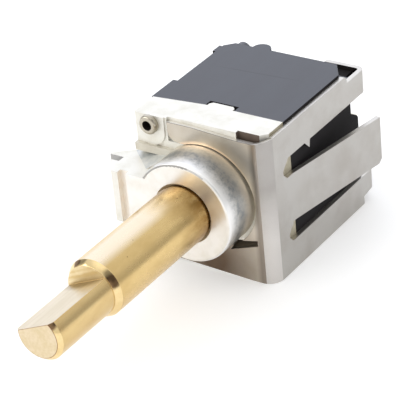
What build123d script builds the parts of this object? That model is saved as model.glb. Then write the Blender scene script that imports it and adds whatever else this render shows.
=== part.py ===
# Rotary selector switch with a brass half-moon shaft, a die-cast zinc front
# bearing, a moulded body and a folded spring-steel clip frame.
# Units are millimetres. X runs to the right seen from the front, Y runs to the
# rear and Z is up. The origin is on the shaft axis, in the frame's front face.

import os
from math import cos, radians, sin

from build123d import *

os.makedirs("parts", exist_ok=True)

# ---- driving dimensions -------------------------------------------------
# shaft
shaft_d = 6.0
shaft_reach = 14.9  # from the neck face to the shoulder of the half-moon end
shaft_chamfer = 0.6  # along the axis
shaft_chamfer_depth = 0.38
journal_d = 5.6  # where the shaft runs in the bearing
collar_gap = 0.1  # from the neck face to the end of the full diameter
tip_d = 5.1
tip_length = 8.15
tip_chamfer = 0.4
tip_flat = 1.0  # height of the flat above the axis
rest_turn = 24.0  # the flat leans this far to the left at the first position
drive_d = 4.8
drive_flats = 3.6  # across the two flats that carry the wheel and the rotor
pilot_d = 2.4

# front casting
neck_d = 10.6
neck_length = 4.0
bore_chamfer = 0.35
neck_round = 0.35
seam_slant = 0.7
body_left = 7.6
body_top = 7.35
body_bottom = 8.45
casting_depth = 4.05  # rear face of the casting, from the frame's front face
corner_face = 0.2  # front face of the corner blocks
ear_half_height = 2.8
ear_reach = 8.05
ear_spread = 10.15
ear_taper_depth = 2.9
rivet_x = 5.8
rivet_edge = 0.92  # rivet axis below the top edge and above the bottom edge

# clip frame
sheet = 0.5
frame_right = 7.25
frame_bend = 1.55
frame_bottom = 8.6
upper_arm_length = 18.85
lower_arm_length = 19.55
frame_top = 7.05
web_left = 3.83
web_lip = 5.0  # edges of the hole's open side, above and below the axis
hook_reach = 4.4
hook_bend = 0.8
slot_height = 2.03
finger_top = 1.75
finger_height = 5.1
finger_root = 4.4
finger_length = 13.35
finger_splay = 9.2
finger_corner = 0.45

# housing and rear cover
housing_length = 10.0
housing_step = 0.35
shoulder_length = 3.1
chamber_d = 11.8
cover_depth = 2.4
cover_foot_depth = 4.0
shoulder_proud = 0.15

# detent and contacts
wheel_d = 9.2
wheel_width = 2.6
positions = 12
stop_travel = 300.0
stop_lug = 28.0
leaf = 0.22
leaf_width = 1.4
rotor_d = 10.6
rotor_width = 2.2
board_thickness = 1.55
pad_pitch = 30.0
pad_count = 6
pad_ring_r = 4.2
common_r = 2.3
pad_proud = 0.25
terminal_reach = 3.2

# clearances
running = 0.05
seat = 0.02
gap = 0.05
slack = 0.25

# ---- derived places -----------------------------------------------------
shaft_r = shaft_d / 2
journal_r = journal_d / 2
neck_face = -neck_length
journal_y = neck_face - collar_gap
shoulder_y = neck_face - shaft_reach
tip_y = shoulder_y - tip_length
body_right = frame_right - sheet
body_mid = (body_top - body_bottom) / 2
seam_y = casting_depth + housing_length
cover_back = seam_y + cover_depth
foot_back = seam_y + cover_foot_depth
rivet_top = body_top - rivet_edge
rivet_bottom = -body_bottom + rivet_edge
chamber_r = chamber_d / 2
washer_t = 0.4
ring_t = 0.5
recess_floor = 2.45
recess_r = 4.85
washer_y = recess_floor
ring_y = washer_y + washer_t + gap
ring_groove_r = 2.5
ring_land = 0.5  # behind the retaining ring
drive_y = ring_y + ring_t + ring_land
wheel_y = casting_depth + slack
wheel_r = wheel_d / 2
wheel_back = wheel_y + wheel_width
rotor_gap = 0.7
rotor_y = wheel_back + rotor_gap
rotor_back = rotor_y + rotor_width
board_y = seam_y - board_thickness
pad_y = board_y - pad_proud
pilot_y = rotor_back + 2 * gap
pilot_reach = 1.7  # into the rear cover
pilot_end = seam_y + pilot_reach
first_pad = -15.0
arm_top = finger_top + slot_height
finger_bottom = finger_top - finger_height
arm_bottom = finger_bottom - slot_height
far = 2 * body_top  # beyond every outline
into = 0.2  # one shape runs this far into the next


def face_at(y):
    """Sketch plane across the shaft: local x is X and local y is Z."""
    return Plane.XZ.offset(-y)


def edges_near(part, x, y, tolerance=0.02):
    """Upright edges of a part that stand at the plan position x, y."""
    found = []
    for edge in part.edges().filter_by(Axis.Z):
        middle = edge.center()
        if abs(middle.X - x) < tolerance and abs(middle.Y - y) < tolerance:
            found.append(edge)
    return found


def corner_near(sketch, x, y, tolerance=0.02):
    """Corner of an open sketch at the local position x, y."""
    corners = sketch.vertices()
    return corners.filter_by(lambda v: abs(v.X - x) < tolerance and abs(v.Y - y) < tolerance)


def polar(radius, angle):
    """Point across the shaft, at an angle from +X towards +Z."""
    return (radius * cos(radians(angle)), radius * sin(radians(angle)))


def finish(builder, name):
    """Labels a finished piece and writes its own file."""
    builder.part.label = name
    export_step(builder.part, f"parts/{name}.step")


# ---- shaft: one turned and milled brass bar -----------------------------
tip_r = tip_d / 2
drive_r = drive_d / 2
pilot_r = pilot_d / 2
with BuildPart() as shaft:
    with BuildSketch(Plane.XY):
        with BuildLine():
            Polyline(
                (0, tip_y),
                (tip_r - tip_chamfer, tip_y),
                (tip_r, tip_y + tip_chamfer),
                (tip_r, shoulder_y),
                (shaft_r - shaft_chamfer_depth, shoulder_y),
                (shaft_r, shoulder_y + shaft_chamfer),
                (shaft_r, journal_y),
                (journal_r, journal_y),
                (journal_r, ring_y - seat),
                (ring_groove_r, ring_y - seat),
                (ring_groove_r, ring_y + ring_t + seat),
                (journal_r, ring_y + ring_t + seat),
                (journal_r, drive_y),
                (drive_r, drive_y),
                (drive_r, pilot_y),
                (pilot_r, pilot_y),
                (pilot_r, pilot_end),
                (0, pilot_end),
                close=True,
            )
        make_face()
    revolve(axis=Axis.Y)
    turned = Rotation(0, 0, rest_turn)
    with BuildSketch(face_at(tip_y) * turned):
        with Locations((0, tip_flat + tip_r)):
            Rectangle(3 * tip_r, 2 * tip_r)
    extrude(amount=-tip_length, mode=Mode.SUBTRACT)
    with BuildSketch(face_at(drive_y) * turned):
        for side in (1, -1):
            with Locations((0, side * (drive_flats / 2 + drive_r))):
                Rectangle(3 * drive_r, 2 * drive_r)
    extrude(amount=-(pilot_y - drive_y), mode=Mode.SUBTRACT)
finish(shaft, "shaft")


def drive_hole(y, depth, clearance):
    """Solid that cuts the hole for the shaft's two flats."""
    with BuildPart() as cutter:
        with BuildSketch(face_at(y) * turned):
            Circle(drive_r + clearance)
            Rectangle(2 * drive_d, drive_flats + 2 * clearance, mode=Mode.INTERSECT)
        extrude(amount=-depth)
    return cutter.part


# ---- front casting: plate, neck, ear and corner blocks in one piece ------
plate_front = sheet
bend_relief = frame_bend - sheet
bore_r = journal_r + running
rivet_hole_r = 0.72
ledge_z = 3.35
ledge_height = 0.8
ledge_face = -0.3
block_right = web_left + 0.12  # clear of the web's left edge
ledge_right = 3.0  # left of the axis, inside the neck's outline
filler_right = 1.5  # left of the axis, inside the neck's outline
pad_r = 1.6
pad_drop = 1.65  # centre of the pad's round end from the outer edge
pad_face = corner_face - 0.15
groove_width = 0.95
groove_depth = 0.55
groove_in = 1.22  # groove axis from the ear's outer edge
ear_root = 0.6  # the ear's rear edge runs this far past the body's side
ear_root_rise = 0.1
notch_width = 0.85
notch_in = 1.75  # inner end of the notch from the ear's widest point
notch_y = neck_face + ear_taper_depth - 0.62
relief_left = 3.75
relief_back = 0.9
relief_height = 1.6
tab_width = 2.85
tab_length = 0.65
tab_height = 0.6
tab_corner = 0.3
tab_x = -0.28
side_key_depth = 0.4  # in from the body's side
side_key_length = 0.9
side_key_margin = 0.3  # above and below the frame's slots
gusset_start = (-8.0, 0.3)
gusset_turn = 42.0
gusset_run = 3.4
gusset_rise = 1.15
gusset_length = 3.95
lip_corners = [
    (-body_left - shoulder_proud, casting_depth - seam_slant),
    (tab_x - tab_width / 2, casting_depth),
    (-body_left - shoulder_proud, casting_depth),
]
pocket_corners = [(2.0, -5.8), (5.6, -4.6), (5.6, -4.1), (2.3, -4.75)]
pocket_depth = 1.7
stop_inner = 4.95
stop_outer = 5.65
stop_height = 0.95
stop_gap = 1.0  # degrees left between lug and post at each end of travel
stop_post = 360 - stop_travel - stop_lug - 2 * stop_gap
with BuildPart() as front_casting:
    with BuildSketch(Plane.XY.offset(-body_bottom)):
        with BuildLine():
            Polyline(
                (-body_left, plate_front),
                (body_right - bend_relief, plate_front),
                (body_right, plate_front + bend_relief),
                (body_right, casting_depth),
                (-body_left, casting_depth),
                close=True,
            )
        make_face()
    extrude(amount=body_top + body_bottom)
    # corner blocks with a pad for each tubular rivet
    block_bottom = ledge_z + ledge_height
    block_width = body_left - block_right
    block_height = body_top - block_bottom
    for side in (1, -1):
        block_z = body_mid + side * (body_top - body_mid - block_height / 2)
        pad_z = body_mid + side * (body_top - body_mid - pad_drop)
        with BuildSketch(face_at(corner_face)):
            with Locations((-block_right - block_width / 2, block_z)):
                Rectangle(block_width, block_height)
        extrude(amount=-(plate_front - corner_face))
        with BuildSketch(face_at(pad_face)):
            with Locations((-rivet_x, pad_z)):
                Circle(pad_r)
            with Locations((-rivet_x, pad_z + side * pad_drop / 2)):
                Rectangle(2 * pad_r, pad_drop)
        extrude(amount=-(plate_front - pad_face))
    # the upper block runs on under the frame's rounded lip to the neck
    filler_top = web_lip - 3 * gap
    with BuildSketch(face_at(corner_face)):
        with Locations((-(block_right + filler_right) / 2, (ear_half_height + filler_top) / 2)):
            Rectangle(block_right - filler_right + 2 * into, filler_top - ear_half_height)
    extrude(amount=-(plate_front - corner_face))
    # ledge under the upper corner block
    with BuildSketch(face_at(ledge_face)):
        with Locations((-(body_left + ledge_right) / 2, ledge_z + ledge_height / 2)):
            Rectangle(body_left - ledge_right, ledge_height)
    extrude(amount=-(plate_front - ledge_face))
    # neck with a rounded front rim
    with BuildSketch(face_at(neck_face)):
        Circle(neck_d / 2)
    extrude(amount=-(neck_length + plate_front))
    neck_rim = front_casting.edges().filter_by(GeomType.CIRCLE)
    fillet(neck_rim.sort_by(Axis.Y)[0], neck_round)
    # ear: flush with the neck face, widening to the rear
    with BuildSketch(Plane.XY.offset(-ear_half_height)):
        with BuildLine():
            Polyline(
                (0, neck_face),
                (-ear_reach, neck_face),
                (-ear_spread, neck_face + ear_taper_depth),
                (-body_left - ear_root, plate_front - ear_root_rise),
                (-body_left + ear_root, plate_front + ear_root),
                (0, plate_front + ear_root),
                close=True,
            )
        make_face()
    extrude(amount=2 * ear_half_height)
    # sloping gusset between the ear, the neck and the ledge
    gusset_x = sin(radians(gusset_turn))
    gusset_y = cos(radians(gusset_turn))
    with BuildSketch(
        Plane(
            origin=(*gusset_start, ear_half_height),
            x_dir=(gusset_x, gusset_y, 0),
            z_dir=(gusset_y, -gusset_x, 0),
        )
    ):
        with BuildLine():
            Polyline((0, 0), (gusset_run, 0), (gusset_run, gusset_rise), close=True)
        make_face()
    extrude(amount=gusset_length)
    # vertical groove in the ear's front face and notch in its slanted side
    with BuildSketch(face_at(neck_face)):
        with Locations((-ear_reach + groove_in, 0)):
            Rectangle(groove_width, 3 * ear_half_height)
    extrude(amount=-groove_depth, mode=Mode.SUBTRACT)
    with BuildSketch(Plane.XY.offset(-2 * ear_half_height)):
        with Locations((-ear_spread, notch_y)):
            Rectangle(2 * notch_in, notch_width)
    extrude(amount=4 * ear_half_height, mode=Mode.SUBTRACT)
    # the top edge stands back behind the frame's bend
    with BuildSketch(Plane.XY.offset(body_top - relief_height)):
        with Locations(((relief_left + body_right) / 2, plate_front)):
            Rectangle(body_right - relief_left, 2 * (relief_back - plate_front))
    extrude(amount=relief_height, mode=Mode.SUBTRACT)
    # pocket behind the frame's window
    with BuildSketch(face_at(plate_front)):
        with BuildLine():
            Polyline(*pocket_corners, close=True)
        make_face()
    extrude(amount=-pocket_depth, mode=Mode.SUBTRACT)
    # the housing's lip laps over the top left of the rear edge
    with BuildSketch(Plane.XY.offset(body_top - tab_height)):
        with BuildLine():
            Polyline(*lip_corners, close=True)
        make_face()
    extrude(amount=tab_height, mode=Mode.SUBTRACT)
    # tab that keys the casting into the housing
    with BuildSketch(Plane.XY.offset(body_top - tab_height)):
        with Locations((tab_x, casting_depth + tab_length / 2 - into)):
            Rectangle(tab_width, tab_length + 2 * into)
    extrude(amount=tab_height)
    for side in (1, -1):
        tab_side = tab_x + side * tab_width / 2
        chamfer(edges_near(front_casting.part, tab_side, casting_depth + tab_length), tab_corner)
    # side key behind the frame's slots
    side_key_x = body_right - side_key_depth / 2
    with BuildSketch(Plane.XY.offset(arm_bottom - side_key_margin)):
        with Locations((side_key_x, casting_depth + side_key_length / 2 - into)):
            Rectangle(side_key_depth, side_key_length + 2 * into)
    extrude(amount=arm_top - arm_bottom + 2 * side_key_margin)
    # bearing bore, rear recess and rivet holes
    with BuildSketch(face_at(neck_face)):
        Circle(bore_r)
    extrude(amount=-(neck_length + casting_depth), mode=Mode.SUBTRACT)
    with BuildSketch(face_at(recess_floor)):
        Circle(recess_r)
    extrude(amount=-(casting_depth - recess_floor), mode=Mode.SUBTRACT)
    with BuildSketch(face_at(-1)):
        with Locations((-rivet_x, rivet_top), (-rivet_x, rivet_bottom)):
            Circle(rivet_hole_r)
    extrude(amount=-(casting_depth + 1), mode=Mode.SUBTRACT)
    # stop post on the rear face, between the two ends of travel
    with BuildSketch(face_at(casting_depth - into)):
        Circle(stop_outer)
        Circle(stop_inner, mode=Mode.SUBTRACT)
        with BuildLine():
            Polyline(
                (0, 0),
                polar(far, -90 - stop_post / 2),
                polar(far, -90 + stop_post / 2),
                close=True,
            )
        make_face(mode=Mode.INTERSECT)
    extrude(amount=-(stop_height + into))
    mouth = front_casting.edges().filter_by(GeomType.CIRCLE)
    mouth = mouth.filter_by(lambda e: abs(e.center().Y - neck_face) < 0.01)
    bore_mouth = mouth.filter_by(lambda e: abs(e.radius - bore_r) < 0.01)
    chamfer(bore_mouth, bore_chamfer)
finish(front_casting, "front_casting")


# ---- clip frame: one folded steel sheet with a splayed finger ------------
upper_slot_y = 2.75
lower_slot_y = 3.05
slot_corner = 1.0
slot_foot = 0.6
slot_round = 0.3
hook_drop = 0.8
lower_hook_rise = 0.85
lower_hook_end_rise = 1.3
top_step_y = 15.2
bottom_step_y = 17.3
step_round = 0.6
tooth_y = 6.8
tooth_width = 1.0
tooth_lean = 0.85
tooth_height = 0.85
web_hole_r = 5.52
web_hole_at = (0.1, -0.14)
web_opening = 2.0  # the hole opens out to the left from here
lip_round = 1.15
window_corners = [(2.3, -5.6), (5.5, -4.5), (5.5, -3.88), (3.1, -4.45)]
bend_dip = 0.33  # the upper edge falls this far between the two places below
dip_start = -1.0
dip_end = 4.0
web_rise = 0.4
with BuildPart() as clip_frame:
    with BuildSketch(Plane.XY.offset(-frame_bottom)) as strip:
        with BuildLine():
            Polyline(
                (-web_left, 0),
                (frame_right, 0),
                (frame_right, finger_root),
                (body_right, finger_root),
                (body_right, sheet),
                (-web_left, sheet),
                close=True,
            )
        make_face()
        fillet(corner_near(strip, body_right, sheet), frame_bend - sheet)
        fillet(corner_near(strip, frame_right, 0), frame_bend)
    extrude(amount=frame_bottom + frame_top)
    # hole round the neck, open to the left, and the window at its lower right
    with BuildSketch(face_at(-1)):
        with Locations(web_hole_at):
            Circle(web_hole_r)
        with Locations((-web_left, 0)):
            Rectangle(2 * (web_left - web_opening), 2 * web_lip)
        with BuildLine():
            Polyline(*window_corners, close=True)
        make_face()
        # the lower edge rises to the left and the upper one dips at the bend
        with BuildLine():
            Polyline(
                (frame_right - frame_bend - 1, -frame_bottom),
                (-web_left - 1, -frame_bottom + web_rise),
                (-web_left - 1, -frame_bottom - 1),
                close=True,
            )
        make_face()
        with BuildLine():
            Polyline(
                (dip_start, frame_top),
                (dip_end, frame_top - bend_dip),
                (frame_right - frame_bend, frame_top - bend_dip),
                (frame_right, frame_top),
                close=True,
            )
        make_face()
    extrude(amount=-(1 + frame_bend), mode=Mode.SUBTRACT)
    lip_edges = clip_frame.edges().filter_by(Axis.Y)
    lip_edges = lip_edges.filter_by(lambda e: abs(e.center().X + web_left) < 0.01)
    lip_edges = lip_edges.filter_by(lambda e: abs(abs(e.center().Z) - web_lip) < 0.01)
    fillet(lip_edges, lip_round)
    # upper and lower arms, each hooked round the rear
    for low, high, length in (
        (arm_top, frame_top, upper_arm_length),
        (-frame_bottom, arm_bottom, lower_arm_length),
    ):
        with BuildSketch(Plane.XY.offset(low)) as arm:
            with BuildLine():
                Polyline(
                    (body_right, finger_root),
                    (frame_right, finger_root),
                    (frame_right, length),
                    (frame_right - hook_reach, length),
                    (frame_right - hook_reach, length - sheet),
                    (body_right, length - sheet),
                    close=True,
                )
            make_face()
            fillet(corner_near(arm, body_right, length - sheet), hook_bend - sheet)
            fillet(corner_near(arm, frame_right, length), hook_bend)
        extrude(amount=high - low)
    with BuildSketch(Plane.YZ.offset(frame_right + 1)):
        # slots either side of the finger, each with a sloped front corner
        for slot_top, start in ((arm_top, upper_slot_y), (finger_bottom, lower_slot_y)):
            slot_low = slot_top - slot_height
            with BuildLine():
                FilletPolyline(
                    (start + slot_corner, slot_top),
                    (start, slot_top - slot_corner),
                    (start, slot_low + slot_foot),
                    (start + slot_foot, slot_low),
                    (finger_root + 1, slot_low),
                    (finger_root + 1, slot_top),
                    close=True,
                    radius=slot_round,
                )
            make_face()
            with Locations((finger_root + 0.5, slot_top - slot_height / 2)):
                Rectangle(2, slot_height)
        # the hooks are lower than the arms
        with Locations((top_step_y + 5, frame_top - hook_drop + 5)):
            Rectangle(10, 10)
        with BuildLine():
            Polyline(
                (bottom_step_y, -frame_bottom - 1),
                (bottom_step_y, -frame_bottom + lower_hook_rise),
                (lower_arm_length + 1, -frame_bottom + lower_hook_end_rise),
                (lower_arm_length + 1, -frame_bottom - 1),
                close=True,
            )
        make_face()
    extrude(amount=-(hook_reach + 2), mode=Mode.SUBTRACT)
    step_edges = clip_frame.edges().filter_by(Axis.X)
    step_edges = step_edges.filter_by(lambda e: abs(e.center().Y - top_step_y) < 0.01)
    fillet(step_edges.sort_by(Axis.Z)[-1], step_round)
    # small tooth on the upper arm
    with BuildSketch(Plane.YZ.offset(body_right)):
        with BuildLine():
            Polyline(
                (tooth_y, arm_top),
                (tooth_y + tooth_width, arm_top),
                (tooth_y + tooth_lean, arm_top - tooth_height),
                close=True,
            )
        make_face()
    extrude(amount=sheet)
    # the finger springs outward from its root
    splay_x = sin(radians(finger_splay))
    splay_y = cos(radians(finger_splay))
    finger_x = frame_right + finger_length * splay_x
    finger_y = finger_root + finger_length * splay_y
    with BuildSketch(Plane.XY.offset(finger_bottom)):
        with BuildLine():
            Polyline(
                (body_right, finger_root - sheet),
                (frame_right, finger_root - sheet),
                (frame_right, finger_root),
                (finger_x, finger_y),
                (finger_x - sheet * splay_y, finger_y + sheet * splay_x),
                (body_right, finger_root + sheet * splay_x / 2),
                close=True,
            )
        make_face()
    extrude(amount=finger_height)
    finger_ends = clip_frame.edges().filter_by(lambda e: e.center().X > finger_x - sheet - 0.1)
    finger_ends = finger_ends.filter_by(lambda e: abs(e.length - sheet) < 0.01)
    chamfer(finger_ends.sort_by(Axis.Z)[0], finger_corner)
finish(clip_frame, "clip_frame")

# ---- moulded housing with a round chamber --------------------------------
tab_clear = 0.2
side_key_clear = 0.1
key_width = 2.2
key_depth = 0.7
with BuildPart() as housing:
    with BuildSketch(Plane.XY.offset(-body_bottom)):
        with BuildLine():
            Polyline(
                (-body_left, casting_depth),
                (body_right, casting_depth),
                (body_right, seam_y),
                (-body_left + housing_step, seam_y),
                (-body_left + housing_step, casting_depth + shoulder_length),
                (-body_left - shoulder_proud, casting_depth + shoulder_length),
                (-body_left - shoulder_proud, casting_depth),
                close=True,
            )
        make_face()
    extrude(amount=body_top + body_bottom)
    with BuildSketch(face_at(casting_depth)):
        Circle(chamber_r)
    extrude(amount=-housing_length, mode=Mode.SUBTRACT)
    with BuildSketch(Plane.XY.offset(body_top - tab_height)):
        with BuildLine():
            Polyline(*lip_corners, close=True)
        make_face()
    extrude(amount=tab_height)
    # notch for the casting's tab
    with BuildSketch(Plane.XY.offset(body_top - tab_height - tab_clear)):
        with Locations((tab_x, casting_depth + tab_length / 2)):
            Rectangle(tab_width + 2 * tab_clear, tab_length + 2 * tab_clear)
    extrude(amount=tab_height + 1, mode=Mode.SUBTRACT)
    # notch for the casting's side key
    with BuildSketch(Plane.XY.offset(arm_bottom - side_key_margin - side_key_clear)):
        with Locations((side_key_x, casting_depth + side_key_length / 2)):
            Rectangle(side_key_depth + 2 * side_key_clear, side_key_length + 2 * side_key_clear)
    extrude(
        amount=arm_top - arm_bottom + 2 * (side_key_margin + side_key_clear),
        mode=Mode.SUBTRACT,
    )
    # rivet holes and the slot for the contact board's key
    with BuildSketch(face_at(casting_depth - seam_slant)):
        with Locations((-rivet_x, rivet_top), (-rivet_x, rivet_bottom)):
            Circle(rivet_hole_r)
    extrude(amount=-(housing_length + seam_slant), mode=Mode.SUBTRACT)
    with BuildSketch(face_at(board_y)):
        with Locations((0, chamber_r)):
            Rectangle(key_width + 2 * seat, 2 * (key_depth + seat))
    extrude(amount=-board_thickness, mode=Mode.SUBTRACT)
finish(housing, "housing")

# ---- rear cover with a deeper foot for the terminals ----------------------
terminal_width = 0.9
terminal_thickness = 0.5
foot_top = 1.1
foot_corner = 0.3
boss_proud = 0.7
boss_r = 0.85
hook_pad_left = frame_right - hook_reach + 0.2
hook_pad_right = frame_right - hook_bend - sheet
hook_pad_height = 1.5
corner_cut = (1.3, 1.9)  # across and along the body
rear_corner = 0.9
rib_x = -3.3
rib_r = 1.0
rib_depth = 2.4
ear_block = 1.3
pilot_depth = 2.0
with BuildPart() as rear_cover:
    cover_left = body_left - housing_step
    cover_mid = (body_right - cover_left) / 2
    cover_width = body_right + cover_left
    with BuildSketch(face_at(seam_y)):
        with Locations((cover_mid, body_mid)):
            Rectangle(cover_width, body_top + body_bottom)
    extrude(amount=-cover_depth)
    foot_height = foot_top + body_bottom
    with BuildSketch(face_at(seam_y)):
        with Locations((cover_mid, foot_top - foot_height / 2)):
            Rectangle(cover_width, foot_height)
    extrude(amount=-cover_foot_depth)
    # the top is cut away behind the bend of the frame's upper hook
    with BuildSketch(Plane.XY.offset(frame_top - hook_drop - 0.1)):
        with BuildLine():
            Polyline(
                (body_right, cover_back),
                (body_right - corner_cut[0], cover_back),
                (body_right, cover_back - corner_cut[1]),
                close=True,
            )
        make_face()
    extrude(amount=body_top, mode=Mode.SUBTRACT)
    chamfer(edges_near(rear_cover.part, -cover_left, cover_back), rear_corner)
    # pads under the frame's two hooks
    for start, hook_y, hook_z in (
        (cover_back, upper_arm_length - sheet, (frame_top - hook_drop + arm_top) / 2),
        (foot_back, lower_arm_length - sheet, (arm_bottom - frame_bottom + lower_hook_end_rise) / 2),
    ):
        with BuildSketch(face_at(start - into)):
            with Locations(((hook_pad_left + hook_pad_right) / 2, hook_z)):
                Rectangle(hook_pad_right - hook_pad_left, hook_pad_height)
        extrude(amount=-(hook_y - start + into))
    # rivet boss, latch rib and ear along the top left
    with BuildSketch(face_at(cover_back - into)):
        with Locations((-rivet_x, rivet_top)):
            Circle(boss_r)
    extrude(amount=-(boss_proud + into))
    with BuildSketch(Plane.XY.offset(body_top - rib_depth)):
        with Locations((rib_x, cover_back)):
            Circle(rib_r)
        with Locations((-body_left + ear_block / 2, seam_y + ear_block / 2)):
            Rectangle(ear_block, ear_block)
    extrude(amount=rib_depth)
    with BuildSketch(face_at(seam_y)):
        with Locations((-rivet_x, rivet_top), (-rivet_x, rivet_bottom)):
            Circle(rivet_hole_r)
    extrude(amount=-2 * cover_foot_depth, mode=Mode.SUBTRACT)
    # bearing for the shaft's pilot
    with BuildSketch(face_at(seam_y)):
        Circle(pilot_r + running)
    extrude(amount=-pilot_depth, mode=Mode.SUBTRACT)
    # slots for the terminals
    with BuildSketch(face_at(seam_y)):
        for index in range(pad_count):
            with Locations(polar(pad_ring_r, first_pad - pad_pitch * index)):
                Rectangle(terminal_width + 2 * seat, terminal_thickness + 2 * seat)
        with Locations((0, -common_r)):
            Rectangle(terminal_width + 2 * seat, terminal_thickness + 2 * seat)
    extrude(amount=-2 * cover_foot_depth, mode=Mode.SUBTRACT)
    chamfer(edges_near(rear_cover.part, body_right, foot_back), foot_corner)
finish(rear_cover, "rear_cover")

# ---- tubular rivets -------------------------------------------------------
rivet_r = 0.68
rivet_bore_r = 0.5
rivet_head_r = 1.0
rivet_head = 0.6
rivet_head_round = 0.28
for name, rivet_z, rear in (
    ("tubular_rivet_upper", rivet_top, cover_back + boss_proud + gap),
    ("tubular_rivet_lower", rivet_bottom, foot_back + gap),
):
    with BuildPart() as rivet:
        with BuildSketch(face_at(pad_face - rivet_head)):
            with Locations((-rivet_x, rivet_z)):
                Circle(rivet_head_r)
        extrude(amount=-rivet_head)
        with BuildSketch(face_at(pad_face)):
            with Locations((-rivet_x, rivet_z)):
                Circle(rivet_r)
        extrude(amount=-(rear - pad_face))
        rim = rivet.edges().filter_by(GeomType.CIRCLE)
        rim = rim.filter_by(lambda e: abs(e.radius - rivet_head_r) < 0.01)
        fillet(rim.sort_by(Axis.Y)[0], rivet_head_round)
        with BuildSketch(face_at(pad_face - rivet_head)):
            with Locations((-rivet_x, rivet_z)):
                Circle(rivet_bore_r)
        extrude(amount=-2 * (rear - pad_face), mode=Mode.SUBTRACT)
    finish(rivet, name)

# ---- thrust washer and retaining ring -------------------------------------
washer_r = 4.4
ring_r = 4.1
ring_mouth = 3.0
with BuildPart() as thrust_washer:
    with BuildSketch(face_at(washer_y)):
        Circle(washer_r)
        Circle(journal_r + running, mode=Mode.SUBTRACT)
    extrude(amount=-washer_t)
finish(thrust_washer, "thrust_washer")

with BuildPart() as retaining_ring:
    with BuildSketch(face_at(ring_y)):
        Circle(ring_r)
        Circle(ring_groove_r + seat, mode=Mode.SUBTRACT)
        with Locations((0, -ring_r)):
            Rectangle(ring_mouth, ring_r, mode=Mode.SUBTRACT)
    extrude(amount=-ring_t)
finish(retaining_ring, "retaining_ring")

# ---- detent wheel with its stop lug ---------------------------------------
dimple_r = 0.75
dimple_depth = 0.3
with BuildPart() as detent_wheel:
    with BuildSketch(face_at(wheel_y)):
        Circle(wheel_r)
        with PolarLocations(wheel_r + dimple_r - dimple_depth, positions):
            Circle(dimple_r, mode=Mode.SUBTRACT)
    extrude(amount=-wheel_width)
    lug_angle = -90 - stop_post / 2 - stop_lug / 2 - stop_gap
    with BuildSketch(face_at(wheel_y)):
        Circle(stop_outer - gap)
        with BuildLine():
            Polyline(
                (0, 0),
                polar(far, lug_angle - stop_lug / 2),
                polar(far, lug_angle + stop_lug / 2),
                close=True,
            )
        make_face(mode=Mode.INTERSECT)
    extrude(amount=-(stop_height - seat))
    add(drive_hole(wheel_y, wheel_width, seat), mode=Mode.SUBTRACT)
finish(detent_wheel, "detent_wheel")

# ---- leaf detent springs --------------------------------------------------
leaf_y = wheel_y + stop_height + 3 * gap
nose_root = 0.06
leaf_outer = chamber_r - gap
leaf_inner = leaf_outer - leaf
nose_r = 0.95
for name, side in (("detent_spring_upper", 1), ("detent_spring_lower", -1)):
    nose_z = side * (wheel_r + gap + nose_r)
    with BuildPart() as spring:
        with BuildSketch(face_at(leaf_y)):
            Circle(leaf_outer)
            Circle(leaf_inner, mode=Mode.SUBTRACT)
            with BuildLine():
                Polyline((0, 0), polar(far, side * 45), polar(far, side * 135), close=True)
            make_face(mode=Mode.INTERSECT)
            with Locations((0, side * leaf_outer)):
                Rectangle(2 * (nose_r - leaf), 2 * leaf_outer - 2, mode=Mode.SUBTRACT)
            with BuildSketch(mode=Mode.PRIVATE) as nose:
                with Locations((0, nose_z)):
                    Circle(nose_r)
                    Circle(nose_r - leaf, mode=Mode.SUBTRACT)
                with Locations((0, nose_z + side * (nose_r + nose_root))):
                    Rectangle(3 * nose_r, 2 * nose_r, mode=Mode.SUBTRACT)
            add(nose.sketch)
        extrude(amount=-leaf_width)
    finish(spring, name)

# ---- rotor and its bridging wiper -----------------------------------------
hub_r = 3.4
hub_length = 0.6
with BuildPart() as rotor:
    with BuildSketch(face_at(rotor_y)):
        Circle(rotor_d / 2)
    extrude(amount=-rotor_width)
    with BuildSketch(face_at(rotor_y - hub_length)):
        Circle(hub_r)
    extrude(amount=-hub_length)
    add(drive_hole(rotor_y - hub_length, rotor_width + hub_length, seat), mode=Mode.SUBTRACT)
finish(rotor, "rotor")

wiper_sheet = 0.25
wiper_width = 1.5
wiper_in = common_r + 0.45
wiper_out = pad_ring_r + 0.75
tip_inside = 0.15  # the two bent-down tips straddle the contact radii
tip_outside = 0.2
wiper_root = 0.45
with BuildPart() as wiper:
    wiper_length = pad_y - gap - rotor_back
    across = radians(first_pad)
    spoke = Plane(
        origin=(0, 0, 0),
        x_dir=(cos(across), 0, sin(across)),
        z_dir=(-sin(across), 0, cos(across)),
    )
    with BuildSketch(spoke.offset(-wiper_width / 2)):
        with BuildLine():
            Polyline(
                (wiper_in, rotor_back),
                (wiper_out, rotor_back),
                (wiper_out, rotor_back + wiper_sheet),
                (pad_ring_r + tip_outside, rotor_back + wiper_length),
                (pad_ring_r - tip_inside, rotor_back + wiper_length),
                (wiper_out - wiper_root, rotor_back + wiper_sheet),
                (wiper_in + wiper_root, rotor_back + wiper_sheet),
                (common_r + tip_inside, rotor_back + wiper_length),
                (common_r - tip_outside, rotor_back + wiper_length),
                (wiper_in, rotor_back + wiper_sheet),
                close=True,
            )
        make_face()
    extrude(amount=wiper_width)
finish(wiper, "wiper")

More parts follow.
